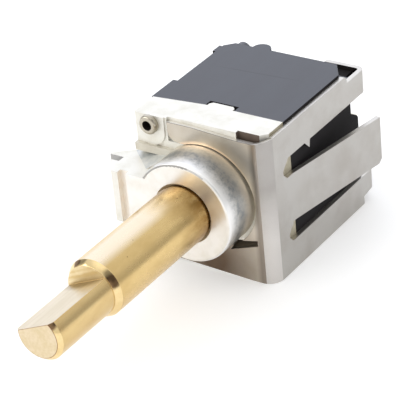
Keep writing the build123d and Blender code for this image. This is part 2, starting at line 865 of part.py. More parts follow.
# ---- contact board --------------------------------------------------------
with BuildPart() as contact_board:
    with BuildSketch(face_at(board_y)):
        Circle(chamber_r - gap)
        with Locations((0, chamber_r)):
            Rectangle(key_width, 2 * key_depth)
        Circle(pilot_r + 3 * gap, mode=Mode.SUBTRACT)
        for index in range(pad_count):
            with Locations(polar(pad_ring_r, first_pad - pad_pitch * index)):
                Rectangle(
                    terminal_width + 2 * seat,
                    terminal_thickness + 2 * seat,
                    mode=Mode.SUBTRACT,
                )
        with Locations((0, -common_r)):
            Rectangle(
                terminal_width + 2 * seat,
                terminal_thickness + 2 * seat,
                mode=Mode.SUBTRACT,
            )
    extrude(amount=-board_thickness)
finish(contact_board, "contact_board")

# ---- terminals: contact pad and leg in one piece ---------------------------
contact_r = 0.8
common_half_width = 0.45
terminal_end = foot_back + terminal_reach
for index in range(pad_count):
    with BuildPart() as terminal:
        place = polar(pad_ring_r, first_pad - pad_pitch * index)
        with BuildSketch(face_at(pad_y)):
            with Locations(place):
                Circle(contact_r)
        extrude(amount=-pad_proud)
        with BuildSketch(face_at(board_y)):
            with Locations(place):
                Rectangle(terminal_width, terminal_thickness)
        extrude(amount=-(terminal_end - board_y))
    finish(terminal, f"terminal_{index + 1}")

with BuildPart() as common_terminal:
    with BuildSketch(face_at(pad_y)):
        Circle(common_r + common_half_width)
        Circle(common_r - common_half_width, mode=Mode.SUBTRACT)
    extrude(amount=-pad_proud)
    with BuildSketch(face_at(board_y)):
        with Locations((0, -common_r)):
            Rectangle(terminal_width, terminal_thickness)
    extrude(amount=-(terminal_end - board_y))
finish(common_terminal, "common_terminal")
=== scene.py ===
import math

import bpy
from mathutils import Matrix, Vector


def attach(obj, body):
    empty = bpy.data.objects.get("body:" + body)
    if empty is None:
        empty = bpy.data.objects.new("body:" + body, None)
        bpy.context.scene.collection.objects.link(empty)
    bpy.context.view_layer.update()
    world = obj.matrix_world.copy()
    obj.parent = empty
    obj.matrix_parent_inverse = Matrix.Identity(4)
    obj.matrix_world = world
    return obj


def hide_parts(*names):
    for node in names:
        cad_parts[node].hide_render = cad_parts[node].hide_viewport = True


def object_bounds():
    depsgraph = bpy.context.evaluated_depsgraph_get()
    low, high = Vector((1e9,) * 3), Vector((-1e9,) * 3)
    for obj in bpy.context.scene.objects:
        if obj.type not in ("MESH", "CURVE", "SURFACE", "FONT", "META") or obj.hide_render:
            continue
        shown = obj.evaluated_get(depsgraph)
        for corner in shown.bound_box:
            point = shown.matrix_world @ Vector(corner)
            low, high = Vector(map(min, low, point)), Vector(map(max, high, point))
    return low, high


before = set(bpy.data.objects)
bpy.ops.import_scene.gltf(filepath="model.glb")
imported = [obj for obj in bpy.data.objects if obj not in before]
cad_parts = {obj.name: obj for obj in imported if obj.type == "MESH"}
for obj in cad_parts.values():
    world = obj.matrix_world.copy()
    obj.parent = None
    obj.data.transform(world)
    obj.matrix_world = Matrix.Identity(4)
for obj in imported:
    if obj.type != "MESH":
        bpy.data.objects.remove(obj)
cadLow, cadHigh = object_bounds()
mm = 0.001  # the sizes below are in millimetres
far = 99  # past the object's end, for an area that is open on one side
lean = math.radians(24)  # the half-moon's flat looks up and this far to the left
flatUp = Vector((-math.sin(lean), 0, math.cos(lean)))
print("frame loaded")

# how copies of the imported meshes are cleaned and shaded: millimetres, then degrees
meshLook = {"weld": 0.002, "flat": 0.5, "sharp": 25, "smooth": 30}


def deselectAll():
    if bpy.context.object and bpy.context.object.mode != "OBJECT":
        bpy.ops.object.mode_set(mode="OBJECT")
    bpy.ops.object.select_all(action="DESELECT")


def selectOnly(piece):
    deselectAll()
    piece.select_set(True)
    bpy.context.view_layer.objects.active = piece


def applyModifiers(piece):
    selectOnly(piece)
    for modifier in list(piece.modifiers):
        bpy.ops.object.modifier_apply(modifier=modifier.name)


def copyOf(nodeName, pieceName):
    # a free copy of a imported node, joined up and with its flat faces whole
    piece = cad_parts[nodeName].copy()
    piece.data = piece.data.copy()
    piece.data.materials.clear()
    piece.name = pieceName
    piece.parent = None
    for key in list(piece.keys()):
        if key.startswith("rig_"):
            del piece[key]
    bpy.context.collection.objects.link(piece)
    selectOnly(piece)
    bpy.ops.object.mode_set(mode="EDIT")
    bpy.ops.mesh.select_all(action="SELECT")
    bpy.ops.mesh.remove_doubles(threshold=meshLook["weld"] * mm)
    bpy.ops.mesh.dissolve_limited(angle_limit=math.radians(meshLook["flat"]))
    bpy.ops.object.mode_set(mode="OBJECT")
    return piece


def within(measured, area):
    # an area gives the lowest and highest of some of what was measured
    return all(low < measured[key] < high for key, (low, high) in area.items())


def roundEdges(piece, look):
    # an edge is rounded by the share that goes with the first area it lies in, or by the rest
    selectOnly(piece)
    bpy.ops.object.mode_set(mode="EDIT")
    bpy.ops.mesh.select_mode(type="EDGE")
    bpy.ops.mesh.select_all(action="DESELECT")
    bpy.ops.mesh.edges_select_sharp(sharpness=math.radians(meshLook["sharp"]))
    bpy.ops.object.mode_set(mode="OBJECT")
    weights = piece.data.attributes.new("bevel_weight_edge", "FLOAT", "EDGE")
    points = piece.data.vertices
    for edge in piece.data.edges:
        if edge.select:
            middle = (points[edge.vertices[0]].co + points[edge.vertices[1]].co) / (2 * mm)
            measured = {"x": middle.x, "y": middle.y, "z": middle.z}
            shares = [share for share, area in look.get("shares", ()) if within(measured, area)]
            weights.data[edge.index].value = (shares + [look.get("rest", 1)])[0]
    bevel = piece.modifiers.new("roundEdges", "BEVEL")
    bevel.width = look["edge"] * mm
    bevel.segments = look["segments"]
    bevel.limit_method = "WEIGHT"
    bevel.miter_outer = "MITER_ARC"
    bevel.use_clamp_overlap = True
    applyModifiers(piece)


def smooth(piece):
    # smooth over the rounded edges, with the large faces kept flat to the eye
    selectOnly(piece)
    bpy.ops.object.shade_smooth_by_angle(angle=math.radians(meshLook["smooth"]))
    weighted = piece.modifiers.new("weighted", "WEIGHTED_NORMAL")
    weighted.keep_sharp = True
    applyModifiers(piece)


def paint(piece, material, *areas, axis=(0, 0)):
    # gives the faces in any of the areas their own material: an area limits a face's middle,
    # its distance from the axis (x, z), and the ways it looks, where facingY near -1 is forward
    piece.data.materials.append(material)
    index = len(piece.data.materials) - 1
    for face in piece.data.polygons:
        at = face.center / mm
        measured = {"x": at.x, "y": at.y, "z": at.z,
                    "radius": math.hypot(at.x - axis[0], at.z - axis[1]),
                    "facingX": face.normal.x, "facingY": face.normal.y, "facingZ": face.normal.z,
                    "facingFlat": face.normal.dot(flatUp)}
        if not areas or any(within(measured, area) for area in areas):
            face.material_index = index


def linear(hexColour):
    # sRGB hex to the linear values that a shader takes
    values = [int(hexColour[i:i + 2], 16) / 255 for i in (1, 3, 5)]
    return [v / 12.92 if v <= 0.04045 else ((v + 0.055) / 1.055) ** 2.4 for v in values] + [1]


def addNode(tree, kind, inputs=None, **settings):
    # one shader node with its settings; an input is a value or another node's output
    made = tree.nodes.new(kind)
    for key, value in settings.items():
        setattr(made, key, value)
    for key, value in (inputs or {}).items():
        if isinstance(value, bpy.types.NodeSocket):
            tree.links.new(value, made.inputs[key])
        else:
            made.inputs[key].default_value = value
    return made


def newMaterial(name):
    material = bpy.data.materials.new(name)
    material.use_nodes = True
    material.node_tree.nodes.clear()
    return material, material.node_tree


# free-cutting brass, turned and polished: fine rings round the axis, and a few small dark pits;
# its top is painted pale as a painted highlight, near the bearing it has a brown stain from
# handling and grease, and each painted dark reflection spot is a place and a radius
brassLook = {
    "ring": 0.12,  # the real tool rings are 0.03 mm apart, drawn coarser so that they show
    "cloud": 1.3, "pitSpacing": 1.7,
    "paleTopHighlight": "#e6d7bd", "paleTopEnds": (-10, -6.5), "paleTopStrength": 0.9,
    "stain": "#9a7641", "stainEnds": (-9, -4.6),
    "pit": "#6f5634", "darkReflection": "#6b4a34",
}


def turnedBrass(name, roughness, paleTopHighlight, light, dark, darkReflection=()):
    look = brassLook
    material, tree = newMaterial(name)
    place = addNode(tree, "ShaderNodeTexCoord").outputs["Object"]
    where = addNode(tree, "ShaderNodeSeparateXYZ", {0: place})
    ringed = addNode(tree, "ShaderNodeMapping", {"Vector": place, "Scale": (0.02, 1, 0.02)})
    rings = addNode(tree, "ShaderNodeTexNoise", {
        "Vector": ringed.outputs[0], "Scale": 1 / (look["ring"] * mm), "Detail": 2})
    drawn = addNode(tree, "ShaderNodeMapping", {"Vector": place, "Scale": (1, 0.4, 1)})
    stains = addNode(tree, "ShaderNodeTexNoise", {
        "Vector": drawn.outputs[0], "Scale": 1 / (look["cloud"] * mm), "Detail": 5,
        "Roughness": 0.65})
    clouds = addNode(tree, "ShaderNodeMapRange", {
        "Value": stains.outputs["Fac"], "From Min": 0.4, "From Max": 0.7})
    polished = addNode(tree, "ShaderNodeMix", {
        0: clouds.outputs[0], 6: linear(light), 7: linear(dark)}, data_type="RGBA")
    # painted highlight: the top of the brass is mixed towards a pale colour, fading out towards
    # the bearing
    top = addNode(tree, "ShaderNodeMapRange", {
        "Value": where.outputs["Z"], "From Min": paleTopHighlight[0] * mm, "From Max": paleTopHighlight[1] * mm})
    clear = addNode(tree, "ShaderNodeMapRange", {
        "Value": where.outputs["Y"], "From Min": look["paleTopEnds"][0] * mm,
        "From Max": look["paleTopEnds"][1] * mm, "To Min": look["paleTopStrength"], "To Max": 0})
    pale = addNode(tree, "ShaderNodeMath", {0: top.outputs[0], 1: clear.outputs[0]},
                   operation="MULTIPLY")
    highlighted = addNode(tree, "ShaderNodeMix", {
        0: pale.outputs[0], 6: polished.outputs[2], 7: linear(look["paleTopHighlight"])}, data_type="RGBA")
    bearing = addNode(tree, "ShaderNodeMapRange", {
        "Value": where.outputs["Y"], "From Min": look["stainEnds"][0] * mm,
        "From Max": look["stainEnds"][1] * mm})
    patchy = addNode(tree, "ShaderNodeMapRange", {
        "Value": stains.outputs["Fac"], "From Min": 0.3, "From Max": 0.62, "To Min": 0.4})
    greased = addNode(tree, "ShaderNodeMath", {0: bearing.outputs[0], 1: patchy.outputs[0]},
                      operation="MULTIPLY")
    stained = addNode(tree, "ShaderNodeMix", {
        0: greased.outputs[0], 6: highlighted.outputs[2], 7: linear(look["stain"])}, data_type="RGBA")
    pits = addNode(tree, "ShaderNodeTexVoronoi", {
        "Vector": place, "Scale": 1 / (look["pitSpacing"] * mm)})
    pitted = addNode(tree, "ShaderNodeMapRange", {
        "Value": pits.outputs["Distance"], "From Min": 0.03, "From Max": 0.05,
        "To Min": 0.8, "To Max": 0})
    colour = addNode(tree, "ShaderNodeMix", {
        0: pitted.outputs[0], 6: stained.outputs[2], 7: linear(look["pit"])}, data_type="RGBA")
    # painted dark reflections: each spot darkens the polished chamfer round a place
    for spot, radius in darkReflection:
        away = addNode(tree, "ShaderNodeVectorMath", {0: place, 1: Vector(spot) * mm},
                       operation="DISTANCE")
        inside = addNode(tree, "ShaderNodeMapRange", {
            "Value": away.outputs["Value"], "From Min": 0.6 * radius * mm,
            "From Max": radius * mm, "To Min": 0.85, "To Max": 0})
        colour = addNode(tree, "ShaderNodeMix", {
            0: inside.outputs[0], 6: colour.outputs[2], 7: linear(look["darkReflection"])},
            data_type="RGBA")
    gloss = addNode(tree, "ShaderNodeMapRange", {
        "Value": stains.outputs["Fac"], "From Min": 0.3, "From Max": 0.75,
        "To Min": roughness, "To Max": roughness + 0.07})
    relief = addNode(tree, "ShaderNodeBump", {
        "Height": rings.outputs["Fac"], "Strength": 0.2, "Distance": 0.002 * mm})
    shader = addNode(tree, "ShaderNodeBsdfPrincipled", {
        "Base Color": colour.outputs[2], "Metallic": 1, "Roughness": gloss.outputs[0],
        "Normal": relief.outputs[0]})
    addNode(tree, "ShaderNodeOutputMaterial", {"Surface": shader.outputs[0]})
    return material


# the same brass, milled: straight cutter lines across the face, so it is paler and duller;
# corner is how strongly a painted reflection of the shoulder and a painted shade in
# the crease darken it towards the shoulder
milledLook = {
    "line": 0.3, "patch": 1.4,
    "shoulderReflection": "#88724a", "reflectionPlace": (-0.6, -37.8, 0.83), "reflectionEnds": (1.4, 3),  # y counts double
    "shadeAndTarnishMark": "#6d4a2c", "cornerShadeEnds": (-19.04, -18.97),
}


def milledBrass(name, across, light, dark, relief, corner=0.0):
    look = milledLook
    material, tree = newMaterial(name)
    place = addNode(tree, "ShaderNodeTexCoord").outputs["Object"]
    turned = addNode(tree, "ShaderNodeMapping", {"Vector": place, "Rotation": (0, lean, 0)})
    drawn = addNode(tree, "ShaderNodeMapping", {"Vector": turned.outputs[0], "Scale": across})
    lines = addNode(tree, "ShaderNodeTexNoise", {
        "Vector": drawn.outputs[0], "Scale": 1 / (look["line"] * mm), "Detail": 2})
    patches = addNode(tree, "ShaderNodeTexNoise", {
        "Vector": place, "Scale": 1 / (look["patch"] * mm), "Detail": 3})
    both = addNode(tree, "ShaderNodeMath", {0: lines.outputs["Fac"], 1: patches.outputs["Fac"]},
                   operation="ADD")
    tone = addNode(tree, "ShaderNodeMapRange", {
        "Value": both.outputs[0], "From Min": 0.8, "From Max": 1.2})
    milled = addNode(tree, "ShaderNodeMix", {
        0: tone.outputs[0], 6: linear(light), 7: linear(dark)}, data_type="RGBA")
    # painted reflection: a darker half-lens on the flat, where the shoulder would be mirrored
    squashed = addNode(tree, "ShaderNodeMapping", {"Vector": place, "Scale": (1, 2, 1)})
    away = addNode(tree, "ShaderNodeVectorMath", {
        0: squashed.outputs[0], 1: Vector(look["reflectionPlace"]) * mm}, operation="DISTANCE")
    shoulderReflection = addNode(tree, "ShaderNodeMapRange", {
        "Value": away.outputs["Value"], "From Min": look["reflectionEnds"][0] * mm,
        "From Max": look["reflectionEnds"][1] * mm, "To Min": corner, "To Max": 0})
    reflected = addNode(tree, "ShaderNodeMix", {
        0: shoulderReflection.outputs[0], 6: milled.outputs[2], 7: linear(look["shoulderReflection"])}, data_type="RGBA")
    # painted shade: a dark line in the crease at the foot of the shoulder
    where = addNode(tree, "ShaderNodeSeparateXYZ", {0: place})
    inCorner = addNode(tree, "ShaderNodeMapRange", {
        "Value": where.outputs["Y"], "From Min": look["cornerShadeEnds"][0] * mm,
        "From Max": look["cornerShadeEnds"][1] * mm, "To Max": corner})
    colour = addNode(tree, "ShaderNodeMix", {
        0: inCorner.outputs[0], 6: reflected.outputs[2], 7: linear(look["shadeAndTarnishMark"])}, data_type="RGBA")
    gloss = addNode(tree, "ShaderNodeMapRange", {
        "Value": lines.outputs["Fac"], "From Min": 0.35, "From Max": 0.65,
        "To Min": 0.3, "To Max": 0.4})
    cut = addNode(tree, "ShaderNodeBump", {
        "Height": lines.outputs["Fac"], "Strength": relief, "Distance": 0.01 * mm})
    shader = addNode(tree, "ShaderNodeBsdfPrincipled", {
        "Base Color": colour.outputs[2], "Metallic": 1, "Roughness": gloss.outputs[0],
        "Normal": cut.outputs[0]})
    addNode(tree, "ShaderNodeOutputMaterial", {"Surface": shader.outputs[0]})
    return material


# zinc alloy as it leaves the die: a thin oxide film makes its flat faces pale and nearly matt,
# and where it filled last it is grey and mottled
zincLook = {"flow": 1.6, "grain": 0.18}


def castZinc(name, light, dark, metal, mottle):
    material, tree = newMaterial(name)
    place = addNode(tree, "ShaderNodeTexCoord").outputs["Object"]
    flow = addNode(tree, "ShaderNodeTexNoise", {
        "Vector": place, "Scale": 1 / (zincLook["flow"] * mm), "Detail": 5, "Roughness": 0.6})
    grain = addNode(tree, "ShaderNodeTexNoise", {
        "Vector": place, "Scale": 1 / (zincLook["grain"] * mm), "Detail": 3})
    tone = addNode(tree, "ShaderNodeMapRange", {
        "Value": flow.outputs["Fac"], "From Min": mottle[0], "From Max": mottle[1]})
    colour = addNode(tree, "ShaderNodeMix", {
        0: tone.outputs[0], 6: linear(light), 7: linear(dark)}, data_type="RGBA")
    gloss = addNode(tree, "ShaderNodeMapRange", {
        "Value": flow.outputs["Fac"], "From Min": 0.35, "From Max": 0.7,
        "To Min": 0.42, "To Max": 0.52})
    relief = addNode(tree, "ShaderNodeBump", {
        "Height": grain.outputs["Fac"], "Strength": 0.15, "Distance": 0.012 * mm})
    shader = addNode(tree, "ShaderNodeBsdfPrincipled", {
        "Base Color": colour.outputs[2], "Metallic": metal, "Roughness": gloss.outputs[0],
        "Normal": relief.outputs[0]})
    addNode(tree, "ShaderNodeOutputMaterial", {"Surface": shader.outputs[0]})
    return material


# the neck: burnished bright at its front rim, grey with the die's cold-flow mottling behind it,
# and painted pale and warm as a painted highlight at its root, where it meets the frame
neckLook = {
    "flow": 0.9, "speck": 0.4, "grain": 0.18,
    "rim": "#f2f1ef", "behind": "#a6a49f", "mottle": "#85898b", "behindEnds": (-3.5, -2.2),
    "root": "#f0e5d0", "rootEnds": (-1.6, -0.3),
}


def neckZinc(name):
    look = neckLook
    material, tree = newMaterial(name)
    place = addNode(tree, "ShaderNodeTexCoord").outputs["Object"]
    where = addNode(tree, "ShaderNodeSeparateXYZ", {0: place})
    flow = addNode(tree, "ShaderNodeTexNoise", {
        "Vector": place, "Scale": 1 / (look["flow"] * mm), "Detail": 5, "Roughness": 0.7})
    grain = addNode(tree, "ShaderNodeTexNoise", {
        "Vector": place, "Scale": 1 / (look["grain"] * mm), "Detail": 3})
    behind = addNode(tree, "ShaderNodeMapRange", {
        "Value": where.outputs["Y"], "From Min": look["behindEnds"][0] * mm,
        "From Max": look["behindEnds"][1] * mm})
    specks = addNode(tree, "ShaderNodeTexNoise", {
        "Vector": place, "Scale": 1 / (look["speck"] * mm), "Detail": 3, "Roughness": 0.7})
    mixed = addNode(tree, "ShaderNodeMath", {0: flow.outputs["Fac"], 1: specks.outputs["Fac"]},
                    operation="ADD")
    mottled = addNode(tree, "ShaderNodeMapRange", {
        "Value": mixed.outputs[0], "From Min": 0.92, "From Max": 1.16, "To Max": 0.85})
    patchy = addNode(tree, "ShaderNodeMath", {0: behind.outputs[0], 1: mottled.outputs[0]},
                     operation="MULTIPLY")
    plain = addNode(tree, "ShaderNodeMix", {
        0: behind.outputs[0], 6: linear(look["rim"]), 7: linear(look["behind"])},
        data_type="RGBA")
    grey = addNode(tree, "ShaderNodeMix", {
        0: patchy.outputs[0], 6: plain.outputs[2], 7: linear(look["mottle"])}, data_type="RGBA")
    # painted highlight: pale and warm at the root
    root = addNode(tree, "ShaderNodeMapRange", {
        "Value": where.outputs["Y"], "From Min": look["rootEnds"][0] * mm,
        "From Max": look["rootEnds"][1] * mm, "To Max": 0.8})
    colour = addNode(tree, "ShaderNodeMix", {
        0: root.outputs[0], 6: grey.outputs[2], 7: linear(look["root"])}, data_type="RGBA")
    gloss = addNode(tree, "ShaderNodeMapRange", {
        "Value": flow.outputs["Fac"], "From Min": 0.35, "From Max": 0.7,
        "To Min": 0.3, "To Max": 0.45})
    relief = addNode(tree, "ShaderNodeBump", {
        "Height": grain.outputs["Fac"], "Strength": 0.2, "Distance": 0.012 * mm})
    shader = addNode(tree, "ShaderNodeBsdfPrincipled", {
        "Base Color": colour.outputs[2], "Metallic": 0.8, "Roughness": gloss.outputs[0],
        "Normal": relief.outputs[0]})
    addNode(tree, "ShaderNodeOutputMaterial", {"Surface": shader.outputs[0]})
    return material


# the neck's front face, skimmed on a lathe: bright and smooth, with faint rings round the bore
skimmedLook = {"ring": 1.4, "haze": 1.3, "light": "#f2efe9", "dark": "#e9e5dc"}


def skimmedZinc(name):
    look = skimmedLook
    material, tree = newMaterial(name)
    place = addNode(tree, "ShaderNodeTexCoord").outputs["Object"]
    rings = addNode(tree, "ShaderNodeTexWave", {
        "Vector": place, "Scale": 1 / (look["ring"] * mm), "Distortion": 0.4},
        wave_type="RINGS", rings_direction="Y")
    haze = addNode(tree, "ShaderNodeTexNoise", {
        "Vector": place, "Scale": 1 / (look["haze"] * mm), "Detail": 3})
    tone = addNode(tree, "ShaderNodeMapRange", {
        "Value": haze.outputs["Fac"], "From Min": 0.4, "From Max": 0.7})
    colour = addNode(tree, "ShaderNodeMix", {
        0: tone.outputs[0], 6: linear(look["light"]), 7: linear(look["dark"])},
        data_type="RGBA")
    relief = addNode(tree, "ShaderNodeBump", {
        "Height": rings.outputs["Fac"], "Strength": 0.1, "Distance": 0.003 * mm})
    shader = addNode(tree, "ShaderNodeBsdfPrincipled", {
        "Base Color": colour.outputs[2], "Metallic": 0.8, "Roughness": 0.3,
        "Normal": relief.outputs[0]})
    addNode(tree, "ShaderNodeOutputMaterial", {"Surface": shader.outputs[0]})
    return material


# metal in a notch, pocket or bore, or on a burr: matt and patchy; it is painted shade in the bores
# and notches, painted light in the window pocket and a painted dark reflection on the web's rolled
# edge, and on the shaft's burrs it is tarnished
recessLook = {"shadeAndTarnishMark": 0.5, "roughness": 0.6}


def mattPatchyMetal(name, dark, light):
    material, tree = newMaterial(name)
    place = addNode(tree, "ShaderNodeTexCoord").outputs["Object"]
    shadeAndTarnishMark = addNode(tree, "ShaderNodeTexNoise", {
        "Vector": place, "Scale": 1 / (recessLook["shadeAndTarnishMark"] * mm), "Detail": 3})
    colour = addNode(tree, "ShaderNodeMix", {
        0: shadeAndTarnishMark.outputs["Fac"], 6: linear(dark), 7: linear(light)}, data_type="RGBA")
    shader = addNode(tree, "ShaderNodeBsdfPrincipled", {
        "Base Color": colour.outputs[2], "Roughness": recessLook["roughness"]})
    addNode(tree, "ShaderNodeOutputMaterial", {"Surface": shader.outputs[0]})
    return material


# nickel-plated strip steel: it shines softly, the stamped sheet is a little wavy, and the
# rolling direction just shows; the last argument is how far it is painted lighter, as painted
# light, going down from the first to the second of the two heights
platedLook = {"grain": 0.12, "smudge": 2.6, "wave": 4.5, "foot": "#eeeae6", "footEnds": (2, -4)}


def platedSteel(name, light, dark, roughness, grainAlong, waves=0.0, foot=0.0):
    look = platedLook
    material, tree = newMaterial(name)
    place = addNode(tree, "ShaderNodeTexCoord").outputs["Object"]
    drawn = addNode(tree, "ShaderNodeMapping", {"Vector": place, "Scale": grainAlong})
    rolled = addNode(tree, "ShaderNodeTexNoise", {
        "Vector": drawn.outputs[0], "Scale": 1 / (look["grain"] * mm), "Detail": 3})
    smudge = addNode(tree, "ShaderNodeTexNoise", {
        "Vector": place, "Scale": 1 / (look["smudge"] * mm), "Detail": 4})
    wave = addNode(tree, "ShaderNodeTexNoise", {
        "Vector": place, "Scale": 1 / (look["wave"] * mm), "Detail": 1})
    tone = addNode(tree, "ShaderNodeMapRange", {
        "Value": smudge.outputs["Fac"], "From Min": 0.4, "From Max": 0.7})
    plated = addNode(tree, "ShaderNodeMix", {
        0: tone.outputs[0], 6: linear(light), 7: linear(dark)}, data_type="RGBA")
    where = addNode(tree, "ShaderNodeSeparateXYZ", {0: place})
    low = addNode(tree, "ShaderNodeMapRange", {
        "Value": where.outputs["Z"], "From Min": look["footEnds"][0] * mm,
        "From Max": look["footEnds"][1] * mm, "To Max": foot})
    colour = addNode(tree, "ShaderNodeMix", {
        0: low.outputs[0], 6: plated.outputs[2], 7: linear(look["foot"])}, data_type="RGBA")
    gloss = addNode(tree, "ShaderNodeMapRange", {
        "Value": smudge.outputs["Fac"], "From Min": 0.3, "From Max": 0.7,
        "To Min": roughness, "To Max": roughness + 0.06})
    fine = addNode(tree, "ShaderNodeBump", {
        "Height": rolled.outputs["Fac"], "Strength": 0.15, "Distance": 0.003 * mm})
    wavy = addNode(tree, "ShaderNodeBump", {
        "Height": wave.outputs["Fac"], "Strength": waves, "Distance": 0.3 * mm,
        "Normal": fine.outputs[0]})
    shader = addNode(tree, "ShaderNodeBsdfPrincipled", {
        "Base Color": colour.outputs[2], "Metallic": 1, "Roughness": gloss.outputs[0],
        "Normal": wavy.outputs[0]})
    addNode(tree, "ShaderNodeOutputMaterial", {"Surface": shader.outputs[0]})
    return material


# the frame's web, the same plated strip: painted lighter towards the right as painted light, with
# a dull grey line painted as shade where the bend starts, a painted highlight along the upper edge
# of the neck's hole, and painted brown shade below the neck
webLook = {
    "smudge": 2.2, "wave": 4.5, "light": "#c8c0b3", "dark": "#bcb2a2",
    "rightLight": "#eae5dd", "rightLightEnds": (2.5, 6.5), "rightLightHeights": (-5, 0), "rightLighting": 0.9,
    "bendLineShade": "#8b8279", "bendLineEnds": (5.2, 5.75),
    "holeHighlight": "#ffe8cf", "holeHighlightRadii": (5.5, 5.75), "holeHighlightHeights": (1.5, 4),
    "lowShade": "#6c5b4c", "lowShadePlace": (0.3, 0, -7.2), "lowShadeRadii": (1.2, 6.8),
}


def webLightAndShade(name):
    look = webLook
    material, tree = newMaterial(name)
    place = addNode(tree, "ShaderNodeTexCoord").outputs["Object"]
    smudge = addNode(tree, "ShaderNodeTexNoise", {
        "Vector": place, "Scale": 1 / (look["smudge"] * mm), "Detail": 4})
    wave = addNode(tree, "ShaderNodeTexNoise", {
        "Vector": place, "Scale": 1 / (look["wave"] * mm), "Detail": 1})
    tone = addNode(tree, "ShaderNodeMapRange", {
        "Value": smudge.outputs["Fac"], "From Min": 0.4, "From Max": 0.7})
    plated = addNode(tree, "ShaderNodeMix", {
        0: tone.outputs[0], 6: linear(look["light"]), 7: linear(look["dark"])},
        data_type="RGBA")
    where = addNode(tree, "ShaderNodeSeparateXYZ", {0: place})
    # painted light: lighter towards the right and above
    right = addNode(tree, "ShaderNodeMapRange", {
        "Value": where.outputs["X"], "From Min": look["rightLightEnds"][0] * mm,
        "From Max": look["rightLightEnds"][1] * mm, "To Max": look["rightLighting"]})
    above = addNode(tree, "ShaderNodeMapRange", {
        "Value": where.outputs["Z"], "From Min": look["rightLightHeights"][0] * mm,
        "From Max": look["rightLightHeights"][1] * mm})
    rightLight = addNode(tree, "ShaderNodeMath", {0: right.outputs[0], 1: above.outputs[0]},
                    operation="MULTIPLY")
    rightLit = addNode(tree, "ShaderNodeMix", {
        0: rightLight.outputs[0], 6: plated.outputs[2], 7: linear(look["rightLight"])}, data_type="RGBA")
    # painted shade: a dull grey line where the bend starts
    bendLine = addNode(tree, "ShaderNodeMapRange", {
        "Value": where.outputs["X"], "From Min": look["bendLineEnds"][0] * mm,
        "From Max": look["bendLineEnds"][1] * mm, "To Max": 0.85})
    bendLineShade = addNode(tree, "ShaderNodeMix", {
        0: bendLine.outputs[0], 6: rightLit.outputs[2], 7: linear(look["bendLineShade"])},
        data_type="RGBA")
    # painted highlight along the upper edge of the neck's hole
    fromAxis = addNode(tree, "ShaderNodeVectorMath", {0: place, 1: (0, 0, 0)},
                       operation="DISTANCE")
    rim = addNode(tree, "ShaderNodeMapRange", {
        "Value": fromAxis.outputs["Value"], "From Min": look["holeHighlightRadii"][0] * mm,
        "From Max": look["holeHighlightRadii"][1] * mm, "To Min": 0.9, "To Max": 0})
    upper = addNode(tree, "ShaderNodeMapRange", {
        "Value": where.outputs["Z"], "From Min": look["holeHighlightHeights"][0] * mm,
        "From Max": look["holeHighlightHeights"][1] * mm})
    holeHighlight = addNode(tree, "ShaderNodeMath", {0: rim.outputs[0], 1: upper.outputs[0]},
                    operation="MULTIPLY")
    bright = addNode(tree, "ShaderNodeMix", {
        0: holeHighlight.outputs[0], 6: bendLineShade.outputs[2], 7: linear(look["holeHighlight"])}, data_type="RGBA")
    # painted shade: brown low down, below the neck
    away = addNode(tree, "ShaderNodeVectorMath", {
        0: place, 1: Vector(look["lowShadePlace"]) * mm}, operation="DISTANCE")
    low = addNode(tree, "ShaderNodeMapRange", {
        "Value": away.outputs["Value"], "From Min": look["lowShadeRadii"][0] * mm,
        "From Max": look["lowShadeRadii"][1] * mm, "To Min": 1, "To Max": 0})
    colour = addNode(tree, "ShaderNodeMix", {
        0: low.outputs[0], 6: bright.outputs[2], 7: linear(look["lowShade"])}, data_type="RGBA")
    gloss = addNode(tree, "ShaderNodeMapRange", {
        "Value": smudge.outputs["Fac"], "From Min": 0.3, "From Max": 0.7,
        "To Min": 0.28, "To Max": 0.36})
    wavy = addNode(tree, "ShaderNodeBump", {
        "Height": wave.outputs["Fac"], "Strength": 0.12, "Distance": 0.3 * mm})
    shader = addNode(tree, "ShaderNodeBsdfPrincipled", {
        "Base Color": colour.outputs[2], "Metallic": 1, "Roughness": gloss.outputs[0],
        "Normal": wavy.outputs[0]})
    addNode(tree, "ShaderNodeOutputMaterial", {"Surface": shader.outputs[0]})
    return material


# black phenolic moulding: half-gloss where the mould was polished, dull where it was
# spark-eroded, with a faint flow grain and pale dust specks; witness is how strongly a line
# shows across the top, a little off square, which fades out before both sides
mouldingLook = {
    "grain": 0.16, "flow": 2.4, "dustSpacing": 2.3, "dust": "#8d8d8d",
    "line": "#0c0c10", "lineTurn": -3.5, "lineY": 11.65, "lineHalf": 0.06,
    "linePlace": (-0.6, 11.5, 7.35), "lineEnds": (2.5, 5.5),
}


